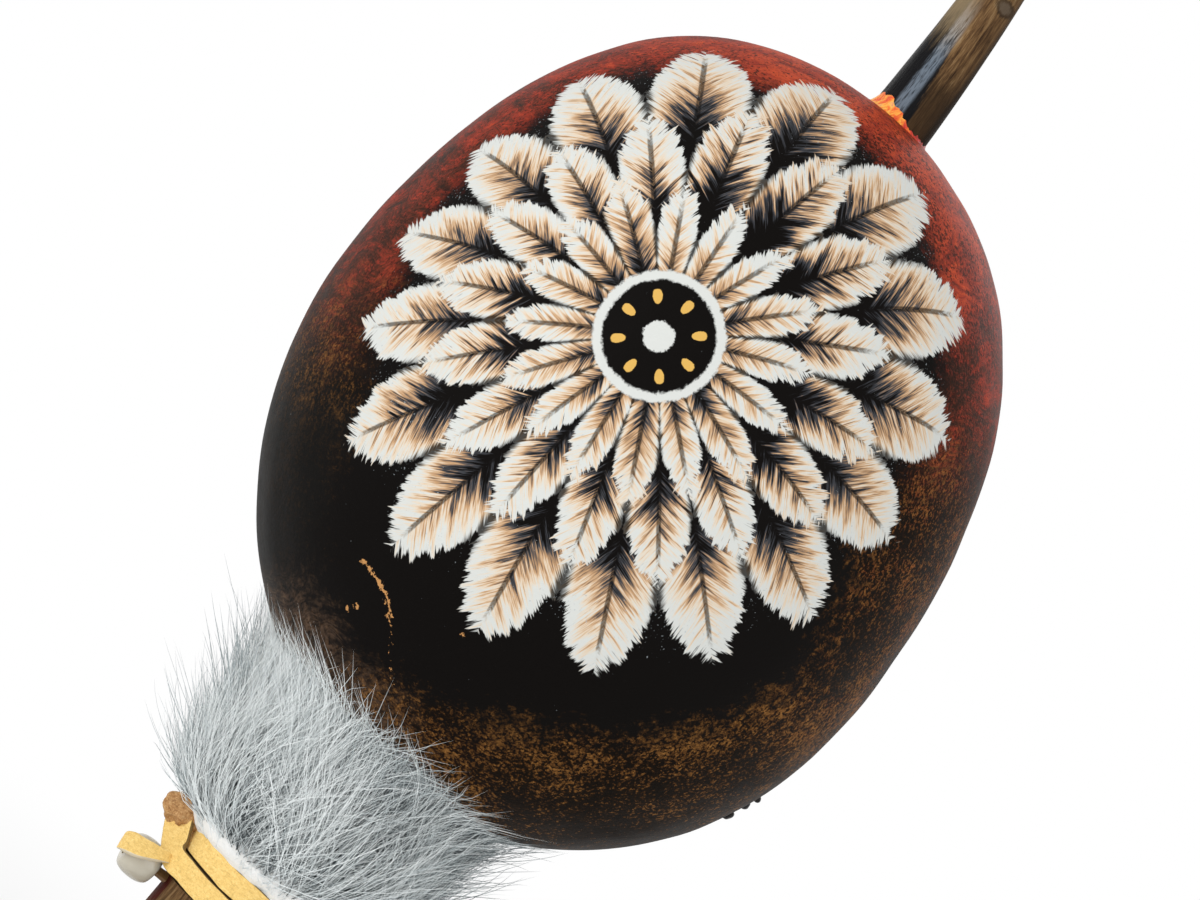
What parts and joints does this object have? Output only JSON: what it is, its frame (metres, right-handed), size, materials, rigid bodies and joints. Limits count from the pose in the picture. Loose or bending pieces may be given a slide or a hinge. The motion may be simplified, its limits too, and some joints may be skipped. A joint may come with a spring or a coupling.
{
  "type": "gourd rattle",
  "caption": "Hand rattle: hollow ovoid gourd on a through-stick, with a fur collar bound by a wound lace, a bead on the lace and loose pebbles inside that sound when shaken.",
  "frame": {"origin": "on the stick's axis in the middle of the hand grip", "axes": "+Z along the stick from the butt to the thin tip, painted side facing -Y, bead at -X"},
  "size_m": [0.1308, 0.1294, 0.36],
  "materials": {
    "gourd_paint": "hand-painted, satin",
    "stick_wood": "bark and bare wood",
    "seal_paint": "painted filler",
    "neck_filler": "raw filler",
    "rabbit_fur": "soft fur",
    "deerskin": "grain side out",
    "ivory": "smooth",
    "pebble_stone": "worn"
  },
  "bodies": {
    "rattle": {"gourd_shell": "gourd_paint", "handle_stick": "stick_wood", "tip_seal": "seal_paint", "neck_seal": "neck_filler", "fur_collar": "rabbit_fur", "lace_binding": "deerskin", "lace_knot": "deerskin", "bead_loop": "deerskin"},
    "bead": {"bead": "ivory"},
    "pebble_01": {"pebble_01": "pebble_stone"},
    "pebble_02": {"pebble_02": "pebble_stone"},
    "pebble_03": {"pebble_03": "pebble_stone"},
    "pebble_04": {"pebble_04": "pebble_stone"},
    "pebble_05": {"pebble_05": "pebble_stone"},
    "pebble_06": {"pebble_06": "pebble_stone"},
    "pebble_07": {"pebble_07": "pebble_stone"},
    "pebble_08": {"pebble_08": "pebble_stone"},
    "pebble_09": {"pebble_09": "pebble_stone"},
    "pebble_10": {"pebble_10": "pebble_stone"},
    "pebble_11": {"pebble_11": "pebble_stone"},
    "pebble_12": {"pebble_12": "pebble_stone"},
    "pebble_13": {"pebble_13": "pebble_stone"},
    "pebble_14": {"pebble_14": "pebble_stone"},
    "pebble_15": {"pebble_15": "pebble_stone"},
    "pebble_16": {"pebble_16": "pebble_stone"},
    "pebble_17": {"pebble_17": "pebble_stone"},
    "pebble_18": {"pebble_18": "pebble_stone"},
    "pebble_19": {"pebble_19": "pebble_stone"},
    "pebble_20": {"pebble_20": "pebble_stone"},
    "pebble_21": {"pebble_21": "pebble_stone"},
    "pebble_22": {"pebble_22": "pebble_stone"},
    "pebble_23": {"pebble_23": "pebble_stone"},
    "pebble_24": {"pebble_24": "pebble_stone"}
  },
  "joints": [
    {"name": "bead_spin", "type": "hinge", "parent": "rattle", "child": "bead", "pos_m": [-0.01942, -0.0052, 0.0588], "axis": [-0.9659, -0.2588, 0], "continuous": true},
    {"name": "pebble_01_shake", "type": "slide", "parent": "rattle", "child": "pebble_01", "axis": [0, 0, 1], "range_m": [0, 0.1366]},
    {"name": "pebble_02_shake", "type": "slide", "parent": "rattle", "child": "pebble_02", "axis": [0, 0, 1], "range_m": [0, 0.1374]},
    {"name": "pebble_03_shake", "type": "slide", "parent": "rattle", "child": "pebble_03", "axis": [0, 0, 1], "range_m": [0, 0.1365]},
    {"name": "pebble_04_shake", "type": "slide", "parent": "rattle", "child": "pebble_04", "axis": [0, 0, 1], "range_m": [0, 0.137]},
    {"name": "pebble_05_shake", "type": "slide", "parent": "rattle", "child": "pebble_05", "axis": [0, 0, 1], "range_m": [0, 0.1375]},
    {"name": "pebble_06_shake", "type": "slide", "parent": "rattle", "child": "pebble_06", "axis": [0, 0, 1], "range_m": [0, 0.1366]},
    {"name": "pebble_07_shake", "type": "slide", "parent": "rattle", "child": "pebble_07", "axis": [0, 0, 1], "range_m": [0, 0.1374]},
    {"name": "pebble_08_shake", "type": "slide", "parent": "rattle", "child": "pebble_08", "axis": [0, 0, 1], "range_m": [0, 0.1365]},
    {"name": "pebble_09_shake", "type": "slide", "parent": "rattle", "child": "pebble_09", "axis": [0, 0, 1], "range_m": [0, 0.137]},
    {"name": "pebble_10_shake", "type": "slide", "parent": "rattle", "child": "pebble_10", "axis": [0, 0, 1], "range_m": [0, 0.1375]},
    {"name": "pebble_11_shake", "type": "slide", "parent": "rattle", "child": "pebble_11", "axis": [0, 0, 1], "range_m": [0, 0.1266]},
    {"name": "pebble_12_shake", "type": "slide", "parent": "rattle", "child": "pebble_12", "axis": [0, 0, 1], "range_m": [0, 0.1274]},
    {"name": "pebble_13_shake", "type": "slide", "parent": "rattle", "child": "pebble_13", "axis": [0, 0, 1], "range_m": [0, 0.1264]},
    {"name": "pebble_14_shake", "type": "slide", "parent": "rattle", "child": "pebble_14", "axis": [0, 0, 1], "range_m": [0, 0.1272]},
    {"name": "pebble_15_shake", "type": "slide", "parent": "rattle", "child": "pebble_15", "axis": [0, 0, 1], "range_m": [0, 0.1279]},
    {"name": "pebble_16_shake", "type": "slide", "parent": "rattle", "child": "pebble_16", "axis": [0, 0, 1], "range_m": [0, 0.1267]},
    {"name": "pebble_17_shake", "type": "slide", "parent": "rattle", "child": "pebble_17", "axis": [0, 0, 1], "range_m": [0, 0.1273]},
    {"name": "pebble_18_shake", "type": "slide", "parent": "rattle", "child": "pebble_18", "axis": [0, 0, 1], "range_m": [0, 0.1263]},
    {"name": "pebble_19_shake", "type": "slide", "parent": "rattle", "child": "pebble_19", "axis": [0, 0, 1], "range_m": [0, 0.1271]},
    {"name": "pebble_20_shake", "type": "slide", "parent": "rattle", "child": "pebble_20", "axis": [0, 0, 1], "range_m": [0, 0.1279]},
    {"name": "pebble_21_shake", "type": "slide", "parent": "rattle", "child": "pebble_21", "axis": [0, 0, 1], "range_m": [0, 0.1268]},
    {"name": "pebble_22_shake", "type": "slide", "parent": "rattle", "child": "pebble_22", "axis": [0, 0, 1], "range_m": [0, 0.1275]},
    {"name": "pebble_23_shake", "type": "slide", "parent": "rattle", "child": "pebble_23", "axis": [0, 0, 1], "range_m": [0, 0.1263]},
    {"name": "pebble_24_shake", "type": "slide", "parent": "rattle", "child": "pebble_24", "axis": [0, 0, 1], "range_m": [0, 0.127]}
  ]
}
